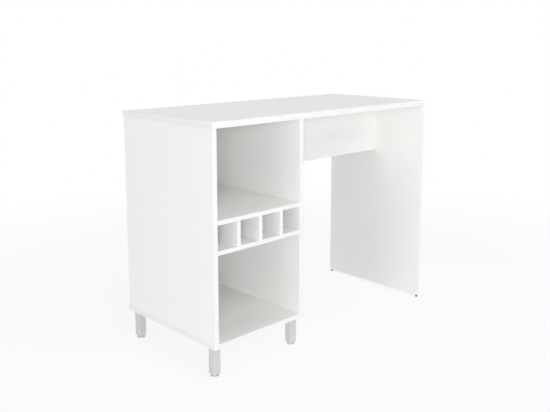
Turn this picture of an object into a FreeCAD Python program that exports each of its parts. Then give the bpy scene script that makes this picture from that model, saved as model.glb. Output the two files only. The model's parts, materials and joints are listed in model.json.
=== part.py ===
import FreeCAD, Part
import math
import os
from dataclasses import dataclass

# Kitchen counter table: a worktop carried by an open cabinet on four tube legs at the
# left, a leg panel at the right, and an apron between them.
# Millimetres. +X runs to the right, the open front faces -Y, +Z is up.
# The origin is on the floor, below the middle of the worktop.

Vector = FreeCAD.Vector

# Worktop
WORKTOP_LENGTH = 1200.0
WORKTOP_DEPTH = 530.0
WORKTOP_THICKNESS = 22.0

# Cabinet
CABINET_INNER_WIDTH = 392.0
UPRIGHT_THICKNESS = 18.0
BASE_THICKNESS = 18.0
BASE_SIDE_OVERHANG = 8.0
REAR_OVERHANG = 8.0
LOWER_BAY_HEIGHT = 312.0
CUBBY_HEIGHT = 89.0
UPPER_BAY_HEIGHT = 309.0
SHELF_THICKNESS = 15.0
CUBBY_DIVIDER_THICKNESS = 15.0
CUBBY_COUNT = 4
BACK_THICKNESS = 3.0
BACK_MARGIN = 2.0

# Apron between the divider and the leg panel
APRON_THICKNESS = 18.0
APRON_HEIGHT = 222.0
APRON_SETBACK = 256.0

# Strips glued on the boards' cut edges
EDGING_THICKNESS = 1.0
EDGING_ROUND = 0.8

# Tube legs
TUBE_WIDTH = 30.0
TUBE_WALL = 1.5
TUBE_CORNER = 2.0
TUBE_LENGTH = 108.0
LEG_INSET_LEFT = 22.0
LEG_INSET_RIGHT = 7.0
LEG_INSET_FRONT = 34.0
LEG_INSET_REAR = 8.0
TOP_PLATE_THICKNESS = 3.0

# Bolt and insert nut above each leg
LEG_BOLT_RADIUS = 4.0
LEG_BOLT_GRIP = 12.0
LEG_BOLT_HEAD_FLATS = 13.0
LEG_BOLT_HEAD_HEIGHT = 5.3
HEX_SIDES = 6
INSERT_RADIUS = 6.0
INSERT_LENGTH = 13.0

# Plug in the lower end of each tube
PLUG_FLANGE = 1.0
PLUG_DEPTH = 17.0

# Levelling foot: threaded stem, grip ring and pad
STEM_RADIUS = 4.0
STEM_ABOVE_PLUG = 10.0
KNOB_RADIUS = 14.5
KNOB_HEIGHT = 5.5
KNOB_GROOVE_RADIUS = 0.9
KNOB_GROOVE_PITCH = 3.8
PAD_RADIUS = 15.0
PAD_HEIGHT = 5.5
PAD_ROUND = 2.0

# Glides under the leg panel
GLIDE_RADIUS = 5.0
GLIDE_HEIGHT = 10.0
GLIDE_TAPER = 1.0
GLIDE_INSET = 6.0
GLIDE_NAIL_RADIUS = 1.1
GLIDE_NAIL_HEAD_RADIUS = 2.0
GLIDE_NAIL_HEAD_HEIGHT = 1.0
GLIDE_NAIL_LENGTH = 16.0
GLIDE_NAIL_SINK = 5.0

# Cam fittings: housing, connecting bolt and cover cap
CAM_RADIUS = 7.5
CAM_DISTANCE = 34.0
CAM_SINK = 0.5
CAM_BELOW_BOLT = 4.5
CAM_CROSS_WIDTH = 1.4
CAM_CROSS_DEPTH = 1.6
CAM_CROSS_LENGTH = 9.0
BOLT_THREAD_RADIUS = 3.0
BOLT_THREAD_LENGTH = 11.0
BOLT_SLEEVE_RADIUS = 3.8
BOLT_SLEEVE_LENGTH = 9.0
BOLT_NECK_RADIUS = 2.2
BOLT_HEAD_RADIUS = 3.4
BOLT_HEAD_LENGTH = 2.0
BOLT_BORE_RADIUS = 4.0
CAP_RADIUS = 8.5
CAP_THICKNESS = 1.2
CAP_ROUND = 0.5

# Dowels
DOWEL_RADIUS = 4.0
DOWEL_IN_FACE = 11.0
DOWEL_IN_EDGE = 19.0
SMALL_DOWEL_RADIUS = 3.0
SMALL_DOWEL_IN_FACE = 7.0
SMALL_DOWEL_IN_EDGE = 17.0
DOWEL_CHAMFER = 0.8

# Where the fittings sit along the boards
CAM_INSET = 70.0
DOWEL_INSET = 112.0
APRON_CAM_INSET = 45.0
APRON_DOWEL_INSET = 190.0

# Nails of the back board
NAIL_RADIUS = 0.7
NAIL_LENGTH = 18.0
NAIL_HEAD_RADIUS = 2.0
NAIL_HEAD_THICKNESS = 0.6
NAIL_END_MARGIN = 35.0
SHELF_NAIL_MARGIN = 70.0
NAILS_PER_UPRIGHT = 7
NAILS_PER_SHELF = 3

# Clearances, and how near two places are taken as the same
PIN_FIT = 0.05
HOLE_RELIEF = 1.0
OVERRUN = 1.0
SAME_PLACE = 0.001

# Planes worked out from the sizes above
LEFT = -WORKTOP_LENGTH / 2
RIGHT = WORKTOP_LENGTH / 2
FRONT = -WORKTOP_DEPTH / 2
REAR = WORKTOP_DEPTH / 2
UPRIGHT_REAR = REAR - REAR_OVERHANG
BASE_UNDERSIDE = PAD_HEIGHT + KNOB_HEIGHT + PLUG_FLANGE + TUBE_LENGTH
BASE_TOP = BASE_UNDERSIDE + BASE_THICKNESS
LOWER_SHELF_UNDERSIDE = BASE_TOP + LOWER_BAY_HEIGHT
LOWER_SHELF_TOP = LOWER_SHELF_UNDERSIDE + SHELF_THICKNESS
UPPER_SHELF_UNDERSIDE = LOWER_SHELF_TOP + CUBBY_HEIGHT
UPPER_SHELF_TOP = UPPER_SHELF_UNDERSIDE + SHELF_THICKNESS
WORKTOP_UNDERSIDE = UPPER_SHELF_TOP + UPPER_BAY_HEIGHT
WORKTOP_SURFACE = WORKTOP_UNDERSIDE + WORKTOP_THICKNESS
SIDE_INNER = LEFT + UPRIGHT_THICKNESS
DIVIDER_INNER = SIDE_INNER + CABINET_INNER_WIDTH
DIVIDER_OUTER = DIVIDER_INNER + UPRIGHT_THICKNESS
BASE_RIGHT = DIVIDER_OUTER + BASE_SIDE_OVERHANG
LEG_PANEL_INNER = RIGHT - UPRIGHT_THICKNESS
APRON_FRONT = FRONT + APRON_SETBACK
APRON_REAR = APRON_FRONT + APRON_THICKNESS
APRON_BOTTOM = WORKTOP_UNDERSIDE - APRON_HEIGHT
SIDE_MIDDLE = LEFT + UPRIGHT_THICKNESS / 2
DIVIDER_MIDDLE = DIVIDER_INNER + UPRIGHT_THICKNESS / 2
LEG_PANEL_MIDDLE = LEG_PANEL_INNER + UPRIGHT_THICKNESS / 2
APRON_MIDDLE = APRON_FRONT + APRON_THICKNESS / 2

ALONG_X = Vector(1, 0, 0)
ALONG_Y = Vector(0, 1, 0)
ALONG_Z = Vector(0, 0, 1)
AGAINST_X = Vector(-1, 0, 0)
AGAINST_Z = Vector(0, 0, -1)


@dataclass
class Board:
    """Outer box of a board with its edging, and the sides that carry edging, in gluing order."""

    low: Vector
    high: Vector
    edged_sides: tuple
    rounded_ends: bool = False


SIDE_NORMALS = {
    "front": Vector(0, -1, 0),
    "rear": Vector(0, 1, 0),
    "left": Vector(-1, 0, 0),
    "right": Vector(1, 0, 0),
    "bottom": Vector(0, 0, -1),
}


def box_between(low, high):
    size = high - low
    return Part.makeBox(size.x, size.y, size.z, low)


def rod(start, direction, length, radius):
    return Part.makeCylinder(radius, length, start, direction)


def around(radius, count):
    """Points at equal angles on a level circle round the origin."""
    angles = [math.tau * index / count for index in range(count)]
    return [Vector(math.cos(angle), math.sin(angle), 0) * radius for angle in angles]


def hex_prism(start, height, across_flats):
    corner_distance = across_flats / 2 / math.cos(math.pi / HEX_SIDES)
    corners = [start + corner for corner in around(corner_distance, HEX_SIDES)]
    return Part.Face(Part.makePolygon(corners + corners[:1])).extrude(ALONG_Z * height)


def rounded_square(centre, width, corner, height):
    half = Vector(width / 2, width / 2, 0)
    block = box_between(centre - half, centre + half + ALONG_Z * height)
    uprights = [edge for edge in block.Edges
                if edge.tangentAt(edge.FirstParameter).cross(ALONG_Z).Length < SAME_PLACE]
    return block.makeFillet(corner, uprights)


# Boards and their edging


def slab_at_side(low, high, normal, thickness):
    """The slab of a box that lies at one of its sides, and the box that is left."""
    if normal.x + normal.y + normal.z > 0:
        slab_low = high - Vector(*[thickness if part else high[axis] - low[axis]
                                   for axis, part in enumerate(normal)])
        return (slab_low, high), (low, high - normal * thickness)
    slab_high = low + Vector(*[thickness if part else high[axis] - low[axis]
                               for axis, part in enumerate(normal)])
    return (low, slab_high), (low - normal * thickness, high)


def round_outer_edges(strip, normal, with_ends):
    """Rounds a strip's long edges on its outer face, and the short ones at a board's free corners."""
    outer = max(vertex.Point.dot(normal) for vertex in strip.Vertexes)
    on_face = [edge for edge in strip.Edges
               if all(abs(vertex.Point.dot(normal) - outer) < SAME_PLACE for vertex in edge.Vertexes)]
    longest = max(edge.Length for edge in on_face)
    chosen = [edge for edge in on_face if with_ends or edge.Length > longest - SAME_PLACE]
    return strip.makeFillet(EDGING_ROUND, chosen)


def core_and_edging(board):
    """A board's core and its edging strips, each strip cut from what the earlier ones left."""
    low, high = board.low, board.high
    strips = []
    for side in board.edged_sides:
        normal = SIDE_NORMALS[side]
        slab, (low, high) = slab_at_side(low, high, normal, EDGING_THICKNESS)
        with_ends = board.rounded_ends and side in ("front", "rear")
        strips.append(round_outer_edges(box_between(*slab), normal, with_ends))
    return box_between(low, high), strips


def upright_board(inner_x, outer_x, bottom, edged_sides):
    low = Vector(min(inner_x, outer_x), FRONT, bottom)
    high = Vector(max(inner_x, outer_x), UPRIGHT_REAR, WORKTOP_UNDERSIDE)
    return Board(low, high, edged_sides)


def shelf_board(underside):
    low = Vector(SIDE_INNER, FRONT, underside)
    high = Vector(DIVIDER_INNER, UPRIGHT_REAR, underside + SHELF_THICKNESS)
    return Board(low, high, ("front",))


def cubby_divider_starts():
    """Left faces of the small dividers, which share the cabinet's inner width equally."""
    dividers = CUBBY_COUNT - 1
    cubby_width = (CABINET_INNER_WIDTH - dividers * CUBBY_DIVIDER_THICKNESS) / CUBBY_COUNT
    pitch = cubby_width + CUBBY_DIVIDER_THICKNESS
    return [SIDE_INNER + cubby_width + index * pitch for index in range(dividers)]


def cubby_divider_board(start):
    low = Vector(start, FRONT, LOWER_SHELF_TOP)
    high = Vector(start + CUBBY_DIVIDER_THICKNESS, UPRIGHT_REAR, UPPER_SHELF_UNDERSIDE)
    return Board(low, high, ("front",))


def boards():
    """Every edged board by name."""
    all_round = ("front", "rear", "left", "right")
    made = {
        "worktop": Board(Vector(LEFT, FRONT, WORKTOP_UNDERSIDE),
                         Vector(RIGHT, REAR, WORKTOP_SURFACE), all_round, True),
        "left_side": upright_board(SIDE_INNER, LEFT, BASE_TOP, ("front",)),
        "divider": upright_board(DIVIDER_INNER, DIVIDER_OUTER, BASE_TOP, ("front",)),
        "base": Board(Vector(LEFT, FRONT, BASE_UNDERSIDE),
                      Vector(BASE_RIGHT, REAR, BASE_TOP), all_round, True),
        "lower_shelf": shelf_board(LOWER_SHELF_UNDERSIDE),
        "upper_shelf": shelf_board(UPPER_SHELF_UNDERSIDE),
        "apron": Board(Vector(DIVIDER_OUTER, APRON_FRONT, APRON_BOTTOM),
                       Vector(LEG_PANEL_INNER, APRON_REAR, WORKTOP_UNDERSIDE), ("bottom",)),
        "leg_panel": upright_board(LEG_PANEL_INNER, RIGHT, GLIDE_HEIGHT, ("front", "rear")),
    }
    for index, start in enumerate(cubby_divider_starts()):
        made[f"cubby_divider_{index + 1}"] = cubby_divider_board(start)
    return made


# Cam fittings and dowels. Each starts at the joint plane, where an edge meets a face.


@dataclass
class CamJoint:
    """A connecting bolt screwed into one board's face and held by a cam in the other board."""

    edge_board: str
    face_board: str
    origin: Vector
    into_edge: Vector
    cam_side: Vector
    half_thickness: float

    def cam_mouth(self):
        return self.origin + self.into_edge * CAM_DISTANCE + self.cam_side * self.half_thickness

    def cam_depth(self):
        return self.half_thickness + CAM_BELOW_BOLT

    def bolt(self):
        thread_start = self.origin - self.into_edge * BOLT_THREAD_LENGTH
        thread = rod(thread_start, self.into_edge, BOLT_THREAD_LENGTH, BOLT_THREAD_RADIUS)
        sleeve = rod(self.origin, self.into_edge, BOLT_SLEEVE_LENGTH, BOLT_SLEEVE_RADIUS)
        neck = rod(self.origin, self.into_edge, CAM_DISTANCE, BOLT_NECK_RADIUS)
        head_start = self.origin + self.into_edge * (CAM_DISTANCE - BOLT_HEAD_LENGTH / 2)
        head = rod(head_start, self.into_edge, BOLT_HEAD_LENGTH, BOLT_HEAD_RADIUS)
        return thread.fuse([sleeve, neck, head]).removeSplitter()

    def cam(self):
        inward = self.cam_side * -1
        mouth = self.cam_mouth()
        drum = rod(mouth + inward * CAM_SINK, inward, self.cam_depth() - CAM_SINK, CAM_RADIUS)
        pocket_end = CAM_DISTANCE + BOLT_HEAD_RADIUS
        pocket = rod(self.origin, self.into_edge, pocket_end, BOLT_SLEEVE_RADIUS)
        across = self.into_edge.cross(self.cam_side)
        cross = [self.cross_slot(mouth, arm, other) for arm, other in
                 ((self.into_edge, across), (across, self.into_edge))]
        return drum.cut([pocket, *cross])

    def cross_slot(self, mouth, arm, other):
        """One slot of the cam's cross recess, open towards the mouth of its hole."""
        reach = arm * (CAM_CROSS_LENGTH / 2) + other * (CAM_CROSS_WIDTH / 2)
        first = mouth - reach
        last = mouth + reach - self.cam_side * (CAM_SINK + CAM_CROSS_DEPTH)
        low = Vector(*[min(pair) for pair in zip(first, last)])
        high = Vector(*[max(pair) for pair in zip(first, last)])
        return box_between(low, high)

    def cap(self):
        disc = rod(self.cam_mouth(), self.cam_side, CAP_THICKNESS, CAP_RADIUS)
        outer = max(edge.CenterOfMass.dot(self.cam_side) for edge in disc.Edges)
        rim = [edge for edge in disc.Edges if edge.Closed
               and edge.CenterOfMass.dot(self.cam_side) > outer - SAME_PLACE]
        return disc.makeFillet(CAP_ROUND, rim)

    def edge_board_cuts(self):
        above_mouth = self.cam_mouth() + self.cam_side * OVERRUN
        hole_depth = self.cam_depth() + OVERRUN
        before_edge = self.origin - self.into_edge * OVERRUN
        return [rod(above_mouth, self.cam_side * -1, hole_depth, CAM_RADIUS + PIN_FIT),
                rod(before_edge, self.into_edge, CAM_DISTANCE + OVERRUN, BOLT_BORE_RADIUS)]

    def face_board_cut(self):
        before_face = self.origin + self.into_edge * OVERRUN
        depth = BOLT_THREAD_LENGTH + HOLE_RELIEF + OVERRUN
        return rod(before_face, self.into_edge * -1, depth, BOLT_THREAD_RADIUS + PIN_FIT)


@dataclass
class DowelJoint:
    """A dowel that sits partly in one board's face and partly in the other board's edge."""

    edge_board: str
    face_board: str
    origin: Vector
    into_edge: Vector
    radius: float = DOWEL_RADIUS
    in_face: float = DOWEL_IN_FACE
    in_edge: float = DOWEL_IN_EDGE

    def dowel(self):
        start = self.origin - self.into_edge * self.in_face
        stick = rod(start, self.into_edge, self.in_face + self.in_edge, self.radius)
        rims = [edge for edge in stick.Edges if edge.Closed]
        return stick.makeChamfer(DOWEL_CHAMFER, rims)

    def edge_board_cut(self):
        depth = self.in_edge + HOLE_RELIEF + OVERRUN
        return rod(self.origin - self.into_edge * OVERRUN, self.into_edge, depth, self.radius + PIN_FIT)

    def face_board_cut(self):
        depth = self.in_face + HOLE_RELIEF + OVERRUN
        start = self.origin + self.into_edge * OVERRUN
        return rod(start, self.into_edge * -1, depth, self.radius + PIN_FIT)


UPRIGHTS = {
    "left_side": (SIDE_MIDDLE, ALONG_X),
    "divider": (DIVIDER_MIDDLE, AGAINST_X),
    "leg_panel": (LEG_PANEL_MIDDLE, AGAINST_X),
}
CAM_ROWS = (FRONT + CAM_INSET, UPRIGHT_REAR - CAM_INSET)
DOWEL_ROWS = (FRONT + DOWEL_INSET, UPRIGHT_REAR - DOWEL_INSET)
SHELF_DOWEL_ROW = (FRONT + UPRIGHT_REAR) / 2


def upright_ends(name):
    """The boards that an upright meets above and below, with the joint plane and direction."""
    ends = [("worktop", WORKTOP_UNDERSIDE, AGAINST_Z)]
    if name != "leg_panel":
        ends.append(("base", BASE_TOP, ALONG_Z))
    return ends


def shelf_ends(underside):
    """Both ends of a shelf: the upright that it meets, the joint point and the direction."""
    middle = underside + SHELF_THICKNESS / 2
    return [("left_side", Vector(SIDE_INNER, 0, middle), ALONG_X),
            ("divider", Vector(DIVIDER_INNER, 0, middle), AGAINST_X)]


def shelves():
    return {"lower_shelf": LOWER_SHELF_UNDERSIDE, "upper_shelf": UPPER_SHELF_UNDERSIDE}


def apron_ends():
    return [("divider", Vector(DIVIDER_OUTER, APRON_MIDDLE, 0), ALONG_X),
            ("leg_panel", Vector(LEG_PANEL_INNER, APRON_MIDDLE, 0), AGAINST_X)]


def upright_cam_joints():
    joints = []
    for name, (middle, inner) in UPRIGHTS.items():
        for face_board, plane, into_edge in upright_ends(name):
            for row in CAM_ROWS:
                origin = Vector(middle, row, plane)
                joints.append(CamJoint(name, face_board, origin, into_edge, inner, UPRIGHT_THICKNESS / 2))
    return joints


def apron_cam_joints():
    joints = []
    for face_board, point, into_edge in apron_ends():
        for height in (APRON_BOTTOM + APRON_CAM_INSET, WORKTOP_UNDERSIDE - APRON_CAM_INSET):
            origin = point + ALONG_Z * height
            joints.append(CamJoint("apron", face_board, origin, into_edge, ALONG_Y, APRON_THICKNESS / 2))
    return joints


def shelf_cam_joints():
    joints = []
    for name, underside in shelves().items():
        for face_board, point, into_edge in shelf_ends(underside):
            for row in CAM_ROWS:
                origin = point + ALONG_Y * row
                joints.append(CamJoint(name, face_board, origin, into_edge, AGAINST_Z, SHELF_THICKNESS / 2))
    return joints


def panel_dowel_joints():
    joints = []
    for name, (middle, _) in UPRIGHTS.items():
        for face_board, plane, into_edge in upright_ends(name):
            for row in DOWEL_ROWS:
                joints.append(DowelJoint(name, face_board, Vector(middle, row, plane), into_edge))
    for name, underside in shelves().items():
        for face_board, point, into_edge in shelf_ends(underside):
            joints.append(DowelJoint(name, face_board, point + ALONG_Y * SHELF_DOWEL_ROW, into_edge))
    for face_board, point, into_edge in apron_ends():
        middle = ALONG_Z * (APRON_BOTTOM + APRON_HEIGHT / 2)
        joints.append(DowelJoint("apron", face_board, point + middle, into_edge))
    for column in (DIVIDER_OUTER + APRON_DOWEL_INSET, LEG_PANEL_INNER - APRON_DOWEL_INSET):
        origin = Vector(column, APRON_MIDDLE, WORKTOP_UNDERSIDE)
        joints.append(DowelJoint("apron", "worktop", origin, AGAINST_Z))
    return joints


def cubby_dowel_joints():
    joints = []
    small = (SMALL_DOWEL_RADIUS, SMALL_DOWEL_IN_FACE, SMALL_DOWEL_IN_EDGE)
    ends = (("lower_shelf", LOWER_SHELF_TOP, ALONG_Z), ("upper_shelf", UPPER_SHELF_UNDERSIDE, AGAINST_Z))
    for index, start in enumerate(cubby_divider_starts()):
        middle = start + CUBBY_DIVIDER_THICKNESS / 2
        for face_board, plane, into_edge in ends:
            for row in CAM_ROWS:
                origin = Vector(middle, row, plane)
                joints.append(DowelJoint(f"cubby_divider_{index + 1}", face_board, origin, into_edge, *small))
    return joints


# Legs, levelling feet and glides


def leg_centres():
    half = TUBE_WIDTH / 2
    left = LEFT + LEG_INSET_LEFT + half
    right = BASE_RIGHT - LEG_INSET_RIGHT - half
    front = FRONT + LEG_INSET_FRONT + half
    rear = REAR - LEG_INSET_REAR - half
    return {"front_left": Vector(left, front, 0), "rear_left": Vector(left, rear, 0),
            "front_right": Vector(right, front, 0), "rear_right": Vector(right, rear, 0)}


TUBE_BORE = TUBE_WIDTH - TUBE_WALL * 2
TUBE_BORE_CORNER = TUBE_CORNER - TUBE_WALL
TUBE_BOTTOM = BASE_UNDERSIDE - TUBE_LENGTH


def leg_tube(centre):
    foot = centre + ALONG_Z * TUBE_BOTTOM
    outside = rounded_square(foot, TUBE_WIDTH, TUBE_CORNER, TUBE_LENGTH)
    bore_start = foot - ALONG_Z * OVERRUN
    bore = rounded_square(bore_start, TUBE_BORE, TUBE_BORE_CORNER, TUBE_LENGTH + OVERRUN * 2)
    return outside.cut(bore)


def inside_tube(centre, bottom, height):
    """A block that fills the tube's bore, less the fit."""
    width = TUBE_BORE - PIN_FIT * 2
    return rounded_square(centre + ALONG_Z * bottom, width, TUBE_BORE_CORNER, height)


def top_plate(centre):
    bottom = BASE_UNDERSIDE - TOP_PLATE_THICKNESS
    plate = inside_tube(centre, bottom, TOP_PLATE_THICKNESS)
    hole_start = centre + ALONG_Z * (bottom - OVERRUN)
    hole_length = TOP_PLATE_THICKNESS + OVERRUN * 2
    return plate.cut(rod(hole_start, ALONG_Z, hole_length, LEG_BOLT_RADIUS + PIN_FIT))


def leg_bolt(centre):
    head_top = BASE_UNDERSIDE - TOP_PLATE_THICKNESS
    head_start = centre + ALONG_Z * (head_top - LEG_BOLT_HEAD_HEIGHT)
    head = hex_prism(head_start, LEG_BOLT_HEAD_HEIGHT, LEG_BOLT_HEAD_FLATS)
    shank_length = TOP_PLATE_THICKNESS + LEG_BOLT_GRIP
    shank = rod(centre + ALONG_Z * head_top, ALONG_Z, shank_length, LEG_BOLT_RADIUS)
    return head.fuse(shank)


def insert_nut(centre):
    start = centre + ALONG_Z * BASE_UNDERSIDE
    barrel = rod(start, ALONG_Z, INSERT_LENGTH, INSERT_RADIUS)
    return barrel.cut(rod(start, ALONG_Z, INSERT_LENGTH, LEG_BOLT_RADIUS + PIN_FIT))


def insert_nut_cut(centre):
    start = centre + ALONG_Z * (BASE_UNDERSIDE - OVERRUN)
    return rod(start, ALONG_Z, INSERT_LENGTH + HOLE_RELIEF + OVERRUN, INSERT_RADIUS + PIN_FIT)


def plug(centre):
    flange_bottom = TUBE_BOTTOM - PLUG_FLANGE
    flange = rounded_square(centre + ALONG_Z * flange_bottom, TUBE_WIDTH, TUBE_CORNER, PLUG_FLANGE)
    body = inside_tube(centre, TUBE_BOTTOM, PLUG_DEPTH)
    bore_start = centre + ALONG_Z * (flange_bottom - OVERRUN)
    bore_length = PLUG_FLANGE + PLUG_DEPTH + OVERRUN * 2
    return flange.fuse(body).cut(rod(bore_start, ALONG_Z, bore_length, STEM_RADIUS + PIN_FIT))


def foot_stem(centre):
    length = KNOB_HEIGHT + PLUG_FLANGE + PLUG_DEPTH + STEM_ABOVE_PLUG
    return rod(centre + ALONG_Z * PAD_HEIGHT, ALONG_Z, length, STEM_RADIUS)


def foot_knob(centre):
    """The grip ring, with shallow upright grooves round its rim."""
    start = centre + ALONG_Z * PAD_HEIGHT
    ring = rod(start, ALONG_Z, KNOB_HEIGHT, KNOB_RADIUS)
    cuts = [rod(start, ALONG_Z, KNOB_HEIGHT, STEM_RADIUS + PIN_FIT)]
    grooves = round(math.tau * KNOB_RADIUS / KNOB_GROOVE_PITCH)
    for rim in around(KNOB_RADIUS, grooves):
        cuts.append(rod(start + rim, ALONG_Z, KNOB_HEIGHT, KNOB_GROOVE_RADIUS))
    return ring.cut(cuts)


def foot_pad(centre):
    disc = rod(centre, ALONG_Z, PAD_HEIGHT, PAD_RADIUS)
    lowest = [edge for edge in disc.Edges if edge.Closed and edge.CenterOfMass.z < PAD_HEIGHT / 2]
    return disc.makeFillet(PAD_ROUND, lowest)


def glide_centres():
    return [Vector(LEG_PANEL_MIDDLE, FRONT + GLIDE_INSET, 0),
            Vector(LEG_PANEL_MIDDLE, UPRIGHT_REAR - GLIDE_INSET, 0)]


def glide(centre):
    """A nail-on glide, a little narrower at the floor, with a well for the nail's head."""
    body = Part.makeCone(GLIDE_RADIUS - GLIDE_TAPER, GLIDE_RADIUS, GLIDE_HEIGHT, centre)
    well = rod(centre, ALONG_Z, GLIDE_NAIL_SINK, GLIDE_NAIL_HEAD_RADIUS + PIN_FIT)
    shaft = rod(centre, ALONG_Z, GLIDE_HEIGHT, GLIDE_NAIL_RADIUS + PIN_FIT)
    return body.cut([well, shaft])


def glide_nail(centre):
    head_start = centre + ALONG_Z * (GLIDE_NAIL_SINK - GLIDE_NAIL_HEAD_HEIGHT)
    head = rod(head_start, ALONG_Z, GLIDE_NAIL_HEAD_HEIGHT, GLIDE_NAIL_HEAD_RADIUS)
    shank = rod(centre + ALONG_Z * GLIDE_NAIL_SINK, ALONG_Z, GLIDE_NAIL_LENGTH, GLIDE_NAIL_RADIUS)
    return head.fuse(shank)


def glide_nail_cut(centre):
    top = GLIDE_NAIL_SINK + GLIDE_NAIL_LENGTH + HOLE_RELIEF
    start = centre + ALONG_Z * (GLIDE_HEIGHT - OVERRUN)
    return rod(start, ALONG_Z, top - GLIDE_HEIGHT + OVERRUN, GLIDE_NAIL_RADIUS + PIN_FIT)


# Back board and its nails


def evenly_spaced(first, last, count):
    return [first + (last - first) * index / (count - 1) for index in range(count)]


def nail_places():
    """Where each nail meets the boards' rear edges, and the board that takes it."""
    places = []
    lowest, highest = BASE_TOP + NAIL_END_MARGIN, WORKTOP_UNDERSIDE - NAIL_END_MARGIN
    heights = evenly_spaced(lowest, highest, NAILS_PER_UPRIGHT)
    for name, column in (("left_side", SIDE_MIDDLE), ("divider", DIVIDER_MIDDLE)):
        places += [(name, Vector(column, UPRIGHT_REAR, height)) for height in heights]
    first, last = SIDE_INNER + SHELF_NAIL_MARGIN, DIVIDER_INNER - SHELF_NAIL_MARGIN
    columns = evenly_spaced(first, last, NAILS_PER_SHELF)
    for name, underside in shelves().items():
        middle = underside + SHELF_THICKNESS / 2
        places += [(name, Vector(column, UPRIGHT_REAR, middle)) for column in columns]
    return places


def back_nail(place):
    outside = place + ALONG_Y * BACK_THICKNESS
    head = rod(outside, ALONG_Y, NAIL_HEAD_THICKNESS, NAIL_HEAD_RADIUS)
    shank = rod(outside, ALONG_Y * -1, NAIL_LENGTH, NAIL_RADIUS)
    return head.fuse(shank)


def back_nail_cut(place):
    start = place + ALONG_Y * (BACK_THICKNESS + OVERRUN)
    return rod(start, ALONG_Y * -1, NAIL_LENGTH + HOLE_RELIEF + OVERRUN, NAIL_RADIUS + PIN_FIT)


def back_board():
    low = Vector(LEFT + BACK_MARGIN, UPRIGHT_REAR, BASE_TOP)
    high = Vector(DIVIDER_OUTER - BACK_MARGIN, UPRIGHT_REAR + BACK_THICKNESS, WORKTOP_UNDERSIDE)
    return box_between(low, high).cut([back_nail_cut(place) for _, place in nail_places()])


# All nodes

BOARD_NODES = {
    "worktop": ("worktop_panel", "worktop_edging"),
    "left_side": ("left_side_panel", "left_side_edging"),
    "divider": ("divider_panel", "divider_edging"),
    "base": ("base_panel", "base_edging"),
    "lower_shelf": ("lower_shelf", "lower_shelf_edging"),
    "upper_shelf": ("upper_shelf", "upper_shelf_edging"),
    "apron": ("apron_panel", "apron_edging"),
    "leg_panel": ("leg_panel", "leg_panel_edging"),
}
CUBBY_EDGING_NODE = "cubby_divider_edging"


def cuts_by_board(cam_joints, dowel_joints):
    """What is drilled out of each board."""
    cuts = {name: [] for name in boards()}
    for joint in cam_joints:
        cuts[joint.edge_board] += joint.edge_board_cuts()
        cuts[joint.face_board].append(joint.face_board_cut())
    for joint in dowel_joints:
        cuts[joint.edge_board].append(joint.edge_board_cut())
        cuts[joint.face_board].append(joint.face_board_cut())
    for name, place in nail_places():
        cuts[name].append(back_nail_cut(place))
    cuts["base"] += [insert_nut_cut(centre) for centre in leg_centres().values()]
    cuts["leg_panel"] += [glide_nail_cut(centre) for centre in glide_centres()]
    return cuts


def board_nodes(cuts):
    nodes = {CUBBY_EDGING_NODE: []}
    for name, board in boards().items():
        core, strips = core_and_edging(board)
        core_node, edging_node = BOARD_NODES.get(name, (name, CUBBY_EDGING_NODE))
        nodes[core_node] = [core.cut(cuts[name])]
        nodes.setdefault(edging_node, []).extend(strips)
    return nodes


def fitting_nodes(panel_joints, shelf_joints, panel_dowels, cubby_dowels):
    joints = panel_joints + shelf_joints
    return {
        "panel_cams": [joint.cam() for joint in panel_joints],
        "shelf_cams": [joint.cam() for joint in shelf_joints],
        "cam_caps": [joint.cap() for joint in joints],
        "connecting_bolts": [joint.bolt() for joint in joints],
        "panel_dowels": [joint.dowel() for joint in panel_dowels],
        "cubby_dowels": [joint.dowel() for joint in cubby_dowels],
        "back_panel_nails": [back_nail(place) for _, place in nail_places()],
    }


def leg_nodes():
    centres = leg_centres()
    nodes = {
        "leg_top_plates": [top_plate(centre) for centre in centres.values()],
        "leg_bolts": [leg_bolt(centre) for centre in centres.values()],
        "leg_insert_nuts": [insert_nut(centre) for centre in centres.values()],
        "leg_plugs": [plug(centre) for centre in centres.values()],
        "panel_glides": [glide(centre) for centre in glide_centres()],
        "glide_nails": [glide_nail(centre) for centre in glide_centres()],
    }
    for place, centre in centres.items():
        nodes[f"leg_tube_{place}"] = [leg_tube(centre)]
        nodes[f"foot_stem_{place}"] = [foot_stem(centre)]
        nodes[f"foot_knob_{place}"] = [foot_knob(centre)]
        nodes[f"foot_pad_{place}"] = [foot_pad(centre)]
    return nodes


def all_nodes():
    panel_joints = upright_cam_joints() + apron_cam_joints()
    shelf_joints = shelf_cam_joints()
    panel_dowels = panel_dowel_joints()
    cubby_dowels = cubby_dowel_joints()
    nodes = board_nodes(cuts_by_board(panel_joints + shelf_joints, panel_dowels + cubby_dowels))
    nodes["cabinet_back_panel"] = [back_board()]
    nodes.update(fitting_nodes(panel_joints, shelf_joints, panel_dowels, cubby_dowels))
    nodes.update(leg_nodes())
    return nodes


def write_nodes(nodes):
    os.makedirs("parts", exist_ok=True)
    for name, solids in nodes.items():
        pieces = [piece for solid in solids for piece in solid.Solids]
        shape = pieces[0] if len(pieces) == 1 else Part.makeCompound(pieces)
        shape.exportStep(os.path.join("parts", f"{name}.step"))


write_nodes(all_nodes())
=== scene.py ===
"""Looks of the kitchen counter table, built round its packed construction model.

Lengths are metres in the construction model's frame: +X runs to the right, the open front
faces -Y, +Z is up, and the origin is on the floor below the middle of the worktop.
"""

import json
import logging
import math
from collections.abc import Callable, Iterable
from dataclasses import dataclass, field
from enum import Enum

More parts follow.
